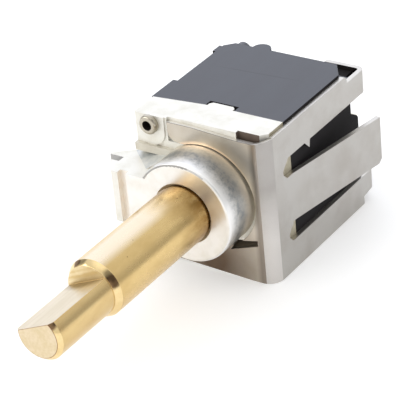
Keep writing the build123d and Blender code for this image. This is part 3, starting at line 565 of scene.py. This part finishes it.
def blackMoulding(name, colours, roughness, ior, shine, witness):
    look = mouldingLook
    material, tree = newMaterial(name)
    place = addNode(tree, "ShaderNodeTexCoord").outputs["Object"]
    grain = addNode(tree, "ShaderNodeTexNoise", {
        "Vector": place, "Scale": 1 / (look["grain"] * mm), "Detail": 3})
    drawn = addNode(tree, "ShaderNodeMapping", {"Vector": place, "Scale": (1, 0.2, 1)})
    flow = addNode(tree, "ShaderNodeTexNoise", {
        "Vector": drawn.outputs[0], "Scale": 1 / (look["flow"] * mm), "Detail": 3})
    tone = addNode(tree, "ShaderNodeMapRange", {
        "Value": flow.outputs["Fac"], "From Min": 0.35, "From Max": 0.7})
    base = addNode(tree, "ShaderNodeMix", {
        0: tone.outputs[0], 6: linear(colours[0]), 7: linear(colours[1])}, data_type="RGBA")
    specks = addNode(tree, "ShaderNodeTexVoronoi", {
        "Vector": place, "Scale": 1 / (look["dustSpacing"] * mm)})
    dusty = addNode(tree, "ShaderNodeMapRange", {
        "Value": specks.outputs["Distance"], "From Min": 0.02, "From Max": 0.035,
        "To Min": 0.7, "To Max": 0})
    dust = addNode(tree, "ShaderNodeMix", {
        0: dusty.outputs[0], 6: base.outputs[2], 7: linear(look["dust"])}, data_type="RGBA")
    turned = addNode(tree, "ShaderNodeMapping", {
        "Vector": place, "Rotation": (0, 0, math.radians(look["lineTurn"]))})
    where = addNode(tree, "ShaderNodeSeparateXYZ", {0: turned.outputs[0]})
    onLine = addNode(tree, "ShaderNodeMath", {
        0: where.outputs["Y"], 1: look["lineY"] * mm, 2: look["lineHalf"] * mm},
        operation="COMPARE")
    fades = addNode(tree, "ShaderNodeVectorMath", {
        0: place, 1: Vector(look["linePlace"]) * mm}, operation="DISTANCE")
    lineShows = addNode(tree, "ShaderNodeMapRange", {
        "Value": fades.outputs["Value"], "From Min": look["lineEnds"][0] * mm,
        "From Max": look["lineEnds"][1] * mm, "To Min": witness, "To Max": 0})
    line = addNode(tree, "ShaderNodeMath", {0: onLine.outputs[0], 1: lineShows.outputs[0]},
                   operation="MULTIPLY")
    colour = addNode(tree, "ShaderNodeMix", {
        0: line.outputs[0], 6: dust.outputs[2], 7: linear(look["line"])}, data_type="RGBA")
    gloss = addNode(tree, "ShaderNodeMapRange", {
        "Value": flow.outputs["Fac"], "From Min": 0.3, "From Max": 0.7,
        "To Min": roughness, "To Max": roughness + 0.05})
    relief = addNode(tree, "ShaderNodeBump", {
        "Height": grain.outputs["Fac"], "Strength": 0.2, "Distance": 0.01 * mm})
    shader = addNode(tree, "ShaderNodeBsdfPrincipled", {
        "Base Color": colour.outputs[2], "Roughness": gloss.outputs[0], "IOR": ior,
        "Specular IOR Level": shine, "Normal": relief.outputs[0]})
    addNode(tree, "ShaderNodeOutputMaterial", {"Surface": shader.outputs[0]})
    return material


# natural acetal, turned or moulded: waxy ivory
acetalLook = {"cloud": 2, "light": "#e6e2d6", "dark": "#d8d3c4", "roughness": 0.4, "ior": 1.48}


def naturalAcetal(name):
    look = acetalLook
    material, tree = newMaterial(name)
    place = addNode(tree, "ShaderNodeTexCoord").outputs["Object"]
    cloud = addNode(tree, "ShaderNodeTexNoise", {
        "Vector": place, "Scale": 1 / (look["cloud"] * mm), "Detail": 3})
    colour = addNode(tree, "ShaderNodeMix", {
        0: cloud.outputs["Fac"], 6: linear(look["light"]), 7: linear(look["dark"])},
        data_type="RGBA")
    shader = addNode(tree, "ShaderNodeBsdfPrincipled", {
        "Base Color": colour.outputs[2], "Roughness": look["roughness"], "IOR": look["ior"]})
    addNode(tree, "ShaderNodeOutputMaterial", {"Surface": shader.outputs[0]})
    return material


# paper laminate: brown, with its layers showing at the edge
laminateLook = {"layer": 0.12, "light": "#8a5a33", "dark": "#6d4424", "roughness": 0.5}


def brownLaminate(name):
    look = laminateLook
    material, tree = newMaterial(name)
    place = addNode(tree, "ShaderNodeTexCoord").outputs["Object"]
    stacked = addNode(tree, "ShaderNodeMapping", {"Vector": place, "Scale": (0.1, 1, 0.1)})
    layers = addNode(tree, "ShaderNodeTexNoise", {
        "Vector": stacked.outputs[0], "Scale": 1 / (look["layer"] * mm), "Detail": 2})
    tone = addNode(tree, "ShaderNodeMapRange", {
        "Value": layers.outputs["Fac"], "From Min": 0.35, "From Max": 0.65})
    colour = addNode(tree, "ShaderNodeMix", {
        0: tone.outputs[0], 6: linear(look["light"]), 7: linear(look["dark"])},
        data_type="RGBA")
    shader = addNode(tree, "ShaderNodeBsdfPrincipled", {
        "Base Color": colour.outputs[2], "Roughness": look["roughness"]})
    addNode(tree, "ShaderNodeOutputMaterial", {"Surface": shader.outputs[0]})
    return material


brassTurned = turnedBrass("turnedBrass", 0.25, (2.6, 2.92), "#dfc288", "#d5b77c")
brassTip = turnedBrass("turnedBrassTip", 0.22, (2.4, 2.6), "#d9be88", "#d2b47d")
# the chamfers are polished, with three painted dark reflection spots; none of them is high
# enough for the painted pale top
# their colours are paler than the turned brass's, as a painted highlight
brassRim = turnedBrass("polishedBrassRim", 0.08, (9, 10), "#eed6a2", "#e2c68e", (
    ((2.25, -18.6, 1.5), 0.85), ((-1.65, -18.6, 2.5), 0.6), ((1.55, -26.85, 1.6), 0.6)))
brassMilledFlat = milledBrass("milledBrassFlat", (1, 0.05, 1), "#dccfb7", "#d6c9af", 0.08, 0.8)
brassMilledShoulder = milledBrass("milledBrassShoulder", (0.05, 1, 1), "#ead8b0", "#d6bd8a", 0.12)
brassFaced = milledBrass("facedBrassEnd", (1, 1, 1), "#dfcdae", "#d7c49e", 0.12)
zincSkin = castZinc("castZincSkin", "#eeece4", "#e4e1d6", 0.55, (0.45, 0.75))
zincMottled = castZinc("castZincMottled", "#dededa", "#bcc1c1", 0.7, (0.42, 0.68))
zincLine = castZinc("castZincGreyEdge", "#a3a19d", "#92908c", 0.5, (0.4, 0.7))
zincFaintLine = castZinc("castZincFaintEdge", "#c9c7c3", "#bfbdb9", 0.5, (0.4, 0.7))
zincNeck = neckZinc("castZincNeck")
zincSkimmed = skimmedZinc("skimmedZinc")
zincGroove = castZinc("castZincGroove", "#fcf7ef", "#f6eee2", 0.3, (0.4, 0.7))
zincLedge = castZinc("castZincLedge", "#dbd6c9", "#d0cabc", 0.5, (0.4, 0.7))
zincBore = castZinc("castZincBoreEdge", "#efe2c4", "#e6d5ae", 0.3, (0.4, 0.7))
zincSide = castZinc("castZincSide", "#bdb6a1", "#a39b85", 0.6, (0.4, 0.65))
burrBrown = mattPatchyMetal("tarnishedBurr", "#7a3f10", "#8f5520")
# painted shade: near black, in the rivet bores and on the shaft's journal inside the neck
boreShade = mattPatchyMetal("paintedBoreShade", "#1d1815", "#2c2420")
# painted light: a pale colour for the shaded walls of the window pocket
pocketLight = mattPatchyMetal("paintedPocketLight", "#a59b8c", "#b5ab9c")
recessBrown = mattPatchyMetal("shadedRecess", "#5a4c42", "#6e5f52")
recessGrey = mattPatchyMetal("shadedNotch", "#b4b2b0", "#c4c2bf")
steelPlated = platedSteel("nickelPlatedSteel", "#b4b1ac", "#aba6a0", 0.2, (1, 1, 0.03), 0.1)
# the bend: the same plated steel painted darker as painted shade, and painted lighter towards its
# foot as painted light
steelBend = platedSteel("nickelPlatedBend", "#a8a4a0", "#9f9b96", 0.2, (1, 1, 0.03), 0.1, 0.5)
steelWeb = webLightAndShade("platedWebPaintedLightShade")
# painted reflection: dark on the web's rolled upper and left edges
rollReflection = mattPatchyMetal("paintedRollReflection", "#4a443f", "#3a3531")
steelEdge = platedSteel("shearedSteelEdge", "#d6d2ca", "#c8c4bd", 0.34, (0.05, 0.05, 1))
steelRivet = platedSteel("nickelPlatedRivet", "#bcb5a6", "#aca494", 0.2, (1, 0.2, 1))
steelSpring = platedSteel("brightSpringSteel", "#b9bab9", "#adaeae", 0.25, (0.2, 1, 0.2))
silveredBrass = platedSteel("silveredBrass", "#e2dccb", "#d3cbb6", 0.28, (1, 0.05, 1))
# the top's base is lighter and bluer than the sides' as a painted reflection of the cool window
plasticSmooth = blackMoulding("blackPhenolicSmooth", ("#272932", "#33363f"), 0.33, 1.63, 0.5, 0.75)
plasticDull = blackMoulding("blackPhenolicDull", ("#1b181a", "#201d1f"), 0.72, 1.5, 0.2, 0)
acetalNatural = naturalAcetal("naturalAcetal")
laminateBrown = brownLaminate("brownLaminate")
print("materials made")

# casting: soft die edges, softest on the rivet's block, its pad and the ledge; the block's
# edge along the frame stays nearly sharp
castingLook = {
    "edge": 0.26, "segments": 3, "rest": 0.35,
    "shares": ((0.1, {"x": (-4.05, -3.85), "z": (4.8, far)}),
               (1, {"x": (-far, -1.4), "y": (-0.6, 0.6), "z": (2.7, 7.2)})),
    "neck": {"x": (-4.6, far), "y": (-3.95, 0.5), "radius": (5, 5.6), "facingY": (-0.8, 0.9)},
    "neckFace": {"y": (-far, -3.9), "radius": (-1, 5.35), "facingY": (-far, -0.8)},
    "shelf": {"x": (-far, -2.9), "y": (-4, 0.35), "z": (2.85, 5), "facingZ": (0.15, far)},
    "ledge": {"x": (-far, -3), "y": (-far, 0.15), "z": (4, 4.7), "facingZ": (-0.3, far)},
    "ledgeRoot": {"x": (-far, -3.9), "y": (-far, 0.35), "z": (2.9, 3.9),
                  "facingY": (-far, -0.6)},
    "earGroove": {"x": (-7.35, -6.3), "y": (-3.98, -3.4), "z": (-2.75, 2.75)},
    "earNotch": {"x": (-far, -8.3), "y": (-2.15, -1.25), "z": (-2.75, 2.75),
                 "facingZ": (-far, 0.5)},
    "earEdge": {"x": (-far, -4.3), "z": (2.6, 2.9), "facingY": (-0.95, -0.3),
                "facingZ": (0.3, far)},
    "rimLeft": {"x": (-far, 0.8), "y": (-far, -3.9), "z": (0.5, far), "radius": (4.93, far),
                "facingY": (-0.995, -0.8)},
    "rimRight": {"x": (0.8, 2.8), "y": (-far, -3.9), "z": (0.5, far), "radius": (4.93, far),
                 "facingY": (-0.995, -0.8)},
    "boreEdge": {"y": (-far, -3.6), "radius": (-1, 3.6), "facingY": (-0.95, -0.4)},
    "rightSide": {"x": (6.3, far), "z": (-5.6, 5.6), "facingX": (0.5, far)},
    "windowPocket": {"x": (1.9, 5.7), "y": (0.55, 2.4), "z": (-5.9, -3.6)},
    "topNotch": {"x": (3.6, 6.7), "y": (0.4, 1.1), "z": (5.6, 7.3)},
}
casting = copyOf("front_casting", "zincCasting")
roundEdges(casting, castingLook)
smooth(casting)
paint(casting, zincSkin)
paint(casting, zincNeck, castingLook["neck"])
paint(casting, zincSkimmed, castingLook["neckFace"])
paint(casting, zincMottled, castingLook["shelf"])
# painted shade: the ledge and the face under it are painted darker
paint(casting, zincLedge, castingLook["ledge"])
paint(casting, zincLedge, castingLook["ledgeRoot"])
# painted light: the shaded groove is painted lighter than the cast skin
paint(casting, zincGroove, castingLook["earGroove"])
# fine grey lines: the front rim of the neck, fading to the right, and the ear's upper edge
paint(casting, zincLine, castingLook["rimLeft"])
paint(casting, zincFaintLine, castingLook["rimRight"])
paint(casting, zincLine, castingLook["earEdge"])
# painted reflection: the bore's chamfer is painted warm, as if mirroring the brass shaft
paint(casting, zincBore, castingLook["boreEdge"])
# painted shade: the right side, seen through the frame's slots, is painted darker
paint(casting, zincSide, castingLook["rightSide"])
paint(casting, recessGrey, castingLook["earNotch"])
# painted light on the window pocket's walls
paint(casting, pocketLight, castingLook["windowPocket"])
paint(casting, recessBrown, castingLook["topNotch"])
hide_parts("front_casting")
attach(casting, "switch_body")

# clip frame: plated sheet whose sheared edges are a little brighter; the web's upper and left
# edges were stamped from behind, so they roll over further, and their front roll is painted dark
# as a painted reflection
clipLook = {
    "edge": 0.13, "segments": 2, "rest": 0.55,
    "shares": ((1, {"x": (-far, 5.7), "y": (-far, 0.05), "z": (6.5, far)}),
               (1, {"x": (-far, -3.6), "y": (-far, 0.05)})),
    "bend": {"y": (-far, 1.6), "facingX": (0.1, far), "facingY": (-far, -0.1)},
    "web": {"y": (-far, 0.1), "facingY": (-far, -0.95)},
    "upperEdges": {"facingZ": (0.8, far)},
    "lowerEdges": {"facingZ": (-far, -0.8)},
    "burrTop": {"x": (-far, 5.7), "y": (-far, 0.12), "facingY": (-0.97, -0.2),
                "facingZ": (0.2, far)},
    "burrLeft": {"x": (-far, 5.7), "y": (-far, 0.12), "facingY": (-0.97, -0.2),
                 "facingX": (-far, -0.2)},
}
clip = copyOf("clip_frame", "steelClip")
roundEdges(clip, clipLook)
smooth(clip)
paint(clip, steelPlated)
paint(clip, steelBend, clipLook["bend"])
paint(clip, steelWeb, clipLook["web"])
paint(clip, steelEdge, clipLook["upperEdges"], clipLook["lowerEdges"])
paint(clip, rollReflection, clipLook["burrTop"], clipLook["burrLeft"])
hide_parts("clip_frame")
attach(clip, "switch_body")

# mouldings: the joint between housing and cover is tight, so its edges stay sharp
mouldLook = {"edge": 0.1, "segments": 2, "shares": ((0, {"y": (14.0, 14.1)}),),
             "top": {"z": (6, far), "facingZ": (0.3, far)}}
for nodeName, pieceName in (("housing", "mouldedHousing"), ("rear_cover", "mouldedCover")):
    moulding = copyOf(nodeName, pieceName)
    roundEdges(moulding, mouldLook)
    smooth(moulding)
    paint(moulding, plasticDull)
    paint(moulding, plasticSmooth, mouldLook["top"])
    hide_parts(nodeName)
    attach(moulding, "switch_body")

# shaft: turned all over, with polished chamfers, a milled half-moon end and a journal painted dark
# as painted shade
shaftLook = {
    "edge": 0.05, "segments": 2,
    "chamfers": {"y": (-far, -18.22)},
    "tip": {"y": (-26.64, -18.91)},
    "flat": {"y": (-far, -18.9), "facingFlat": (0.99, far)},
    "shoulder": {"y": (-19, -18.8), "facingY": (-far, -0.95)},
    "endFace": {"y": (-far, -26.95), "facingY": (-far, -0.95)},
    "endBurr": {"y": (-far, -26.99), "facingY": (-0.98, -0.75)},
    "flatBurr": {"y": (-far, -26.99), "facingY": (-0.98, -0.2), "facingFlat": (0.1, far)},
    "journal": {"y": (-4.2, -3), "facingY": (-0.9, 0.9)},
}
shaft = copyOf("shaft", "brassShaft")
roundEdges(shaft, shaftLook)
smooth(shaft)
paint(shaft, brassTurned)
paint(shaft, brassRim, shaftLook["chamfers"])
paint(shaft, brassTip, shaftLook["tip"])
paint(shaft, brassMilledFlat, shaftLook["flat"])
paint(shaft, brassMilledShoulder, shaftLook["shoulder"])
paint(shaft, brassFaced, shaftLook["endFace"])
paint(shaft, burrBrown, shaftLook["endBurr"])
paint(shaft, burrBrown, shaftLook["flatBurr"])
paint(shaft, boreShade, shaftLook["journal"])
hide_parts("shaft")
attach(shaft, "spindle")

# rivets: a plated collar round a deep bore, painted dark inside as painted shade
rivetLook = {"edge": 0.06, "segments": 2, "x": -5.8, "upper": 6.43, "lower": -7.53,
             "bore": {"y": (-0.3, far), "radius": (-1, 0.53), "facingY": (-0.3, 0.3)}}
for side in ("upper", "lower"):
    rivet = copyOf("tubular_rivet_" + side, "tubeRivet" + side.capitalize())
    roundEdges(rivet, rivetLook)
    smooth(rivet)
    paint(rivet, steelRivet)
    paint(rivet, boreShade, rivetLook["bore"], axis=(rivetLook["x"], rivetLook[side]))
    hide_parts("tubular_rivet_" + side)
    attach(rivet, "switch_body")

# the other nodes keep their CAD shape and get their own finish
nodeFinish = {
    "thrust_washer": steelSpring, "retaining_ring": steelSpring,
    "detent_spring_upper": steelSpring, "detent_spring_lower": steelSpring,
    "detent_wheel": acetalNatural, "rotor": acetalNatural, "wiper": silveredBrass,
    "contact_board": laminateBrown, "common_terminal": silveredBrass,
}
for number in range(1, 7):
    nodeFinish["terminal_%d" % number] = silveredBrass
for nodeName, material in nodeFinish.items():
    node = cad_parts[nodeName]
    node.data.materials.clear()
    node.data.materials.append(material)
print("pieces made")


def aim(azimuth, elevation):
    # direction from the object: azimuth 0 is in front, 90 on the right
    across = math.radians(azimuth)
    up = math.radians(elevation)
    return Vector((math.sin(across) * math.cos(up), -math.cos(across) * math.cos(up),
                   math.sin(up)))


# floor: pale and plain, white to the camera and in the metal but for the shadow
stageLook = {"floor": cadLow.z - 0.02 * mm, "size": 3, "colour": "#f2f2f2", "glow": 0.3}
deselectAll()
bpy.ops.mesh.primitive_plane_add(size=stageLook["size"], location=(0, 0, stageLook["floor"]))
floor = bpy.context.object
floor.name = "floor"
material, tree = newMaterial("paleFloor")
matt = addNode(tree, "ShaderNodeBsdfDiffuse", {"Color": linear(stageLook["colour"])})
glow = addNode(tree, "ShaderNodeEmission", {
    "Color": (1, 1, 1, 1), "Strength": stageLook["glow"]})
both = addNode(tree, "ShaderNodeAddShader", {0: matt.outputs[0], 1: glow.outputs[0]})
ray = addNode(tree, "ShaderNodeLightPath")
seen = addNode(tree, "ShaderNodeMath", {
    0: ray.outputs["Is Camera Ray"], 1: ray.outputs["Is Glossy Ray"]}, operation="MAXIMUM")
pick = addNode(tree, "ShaderNodeMixShader", {
    0: seen.outputs[0], 1: matt.outputs[0], 2: both.outputs[0]})
addNode(tree, "ShaderNodeOutputMaterial", {"Surface": pick.outputs[0]})
floor.data.materials.append(material)

# light: a pale tent, and white where the camera looks past the object; each patch lies towards
# an azimuth and elevation, is whole inside its inner angle and gone past its outer one
tentLook = {
    "base": 0.92, "window": "#f0f4ff", "windowEnds": (0.6, 0.95),
    "patches": [
        {"towards": (-142, 27), "inner": 16, "outer": 44, "more": 0.64},  # wide cool window
        {"towards": (0, 90), "inner": 15, "outer": 35, "more": 0.4},  # overhead
        {"towards": (137, 2), "inner": 5, "outer": 24, "more": -0.48},  # low behind, right
        {"towards": (60, 42), "inner": 14, "outer": 26, "more": -0.6},  # high at the front right
        {"towards": (71, 12), "inner": 8, "outer": 18, "more": -0.4},  # low on the right
        {"towards": (-97, 27), "inner": 10, "outer": 18, "more": -0.6},  # on the left
        {"towards": (36, 30), "inner": 4, "outer": 12, "more": -0.3},  # where the camera stands
    ],
}
world = bpy.data.worlds.new("tent")
bpy.context.scene.world = world
world.use_nodes = True
tree = world.node_tree
tree.nodes.clear()
direction = addNode(tree, "ShaderNodeTexCoord").outputs["Generated"]
strength = tentLook["base"]
for patch in tentLook["patches"]:
    dot = addNode(tree, "ShaderNodeVectorMath", {0: direction, 1: aim(*patch["towards"])},
                  operation="DOT_PRODUCT")
    inside = addNode(tree, "ShaderNodeMapRange", {
        "Value": dot.outputs["Value"], "From Min": math.cos(math.radians(patch["outer"])),
        "From Max": math.cos(math.radians(patch["inner"])), "To Max": patch["more"]})
    summed = addNode(tree, "ShaderNodeMath", {0: inside.outputs[0], 1: strength},
                     operation="ADD")
    strength = summed.outputs[0]
nearWindow = addNode(tree, "ShaderNodeVectorMath", {
    0: direction, 1: aim(*tentLook["patches"][0]["towards"])}, operation="DOT_PRODUCT")
coolness = addNode(tree, "ShaderNodeMapRange", {
    "Value": nearWindow.outputs["Value"], "From Min": tentLook["windowEnds"][0],
    "From Max": tentLook["windowEnds"][1]})
tint = addNode(tree, "ShaderNodeMix", {
    0: coolness.outputs[0], 6: (1, 1, 1, 1), 7: linear(tentLook["window"])}, data_type="RGBA")
background = addNode(tree, "ShaderNodeBackground", {
    "Color": tint.outputs[2], "Strength": strength})
white = addNode(tree, "ShaderNodeBackground", {"Color": (1, 1, 1, 1), "Strength": 1.0})
ray = addNode(tree, "ShaderNodeLightPath")
pick = addNode(tree, "ShaderNodeMixShader", {
    0: ray.outputs["Is Camera Ray"], 1: background.outputs[0], 2: white.outputs[0]})
addNode(tree, "ShaderNodeOutputWorld", {"Surface": pick.outputs[0]})

# one soft box at the front left, in metres; its face is twice as bright as white
boxLook = {"azimuth": -45, "elevation": 30, "distance": 0.5, "width": 0.4, "height": 0.25,
           "brightness": 2.0}
lamp = bpy.data.lights.new("frontLeftBox", "AREA")
lamp.shape = "RECTANGLE"
lamp.size = boxLook["width"]
lamp.size_y = boxLook["height"]
lamp.energy = boxLook["brightness"] * boxLook["width"] * boxLook["height"] * math.pi
softBox = bpy.data.objects.new("frontLeftBox", lamp)
bpy.context.collection.objects.link(softBox)
toBox = aim(boxLook["azimuth"], boxLook["elevation"])
softBox.location = toBox * boxLook["distance"]
softBox.rotation_euler = toBox.to_track_quat("Z", "Y").to_euler()

# camera: degrees, and millimetres but for the near clip, which is in metres
cameraLook = {"azimuth": 36.1085, "elevation": 30.238, "roll": -5.7636, "distance": 207.2,
              "right": 0.573, "up": 0.565, "lens": 194.24, "sensor": 36, "near": 0.01}
toCamera = aim(cameraLook["azimuth"], cameraLook["elevation"])
level = toCamera.cross(Vector((0, 0, -1))).normalized()
upright = level.cross(-toCamera)
roll = math.radians(cameraLook["roll"])
right = math.cos(roll) * level + math.sin(roll) * upright
up = math.cos(roll) * upright - math.sin(roll) * level
place = toCamera * cameraLook["distance"] - right * cameraLook["right"] - up * cameraLook["up"]
camera = bpy.data.objects.new("camera", bpy.data.cameras.new("camera"))
bpy.context.collection.objects.link(camera)
camera.data.lens = cameraLook["lens"]
camera.data.sensor_width = cameraLook["sensor"]
camera.data.clip_start = cameraLook["near"]
camera.matrix_world = Matrix((
    (right.x, up.x, toCamera.x, place.x * mm),
    (right.y, up.y, toCamera.y, place.y * mm),
    (right.z, up.z, toCamera.z, place.z * mm),
    (0, 0, 0, 1),
))
bpy.context.scene.camera = camera
bpy.context.scene.view_settings.view_transform = "Standard"
print("stage, light and camera set")
